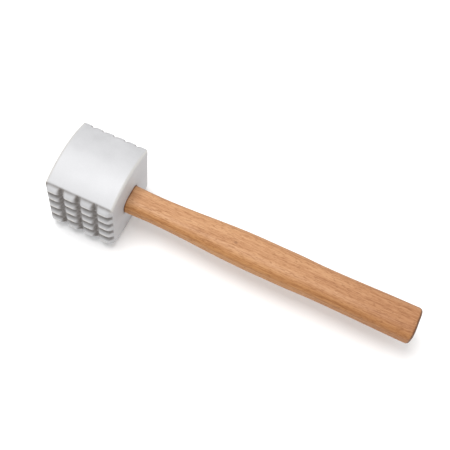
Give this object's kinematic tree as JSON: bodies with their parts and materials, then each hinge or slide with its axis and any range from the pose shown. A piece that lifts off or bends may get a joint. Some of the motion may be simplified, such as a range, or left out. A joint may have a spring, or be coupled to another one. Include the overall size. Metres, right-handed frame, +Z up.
{
  "type": "meat mallet",
  "caption": "Two-faced meat mallet: a cast head with coarse and fine pyramid teeth on its striking faces, wedged on a contoured wooden handle.",
  "frame": {"origin": "on the surface the mallet lies on, below the middle of its overall length and width", "axes": "+X along the handle from the head to the butt; +Y the striking direction of the fine face, -Y that of the coarse face; +Z up as the mallet lies on the belly of its head"},
  "size_m": [0.33, 0.0736, 0.078],
  "materials": {
    "cast_head": "matte cast",
    "handle_wood": "satin oiled",
    "wedge_wood": "sawn",
    "wedge_steel": "dull"
  },
  "bodies": {
    "root": {"head": "cast_head", "handle": "handle_wood", "wood_wedge": "wedge_wood", "steel_wedge": "wedge_steel"}
  },
  "joints": []
}
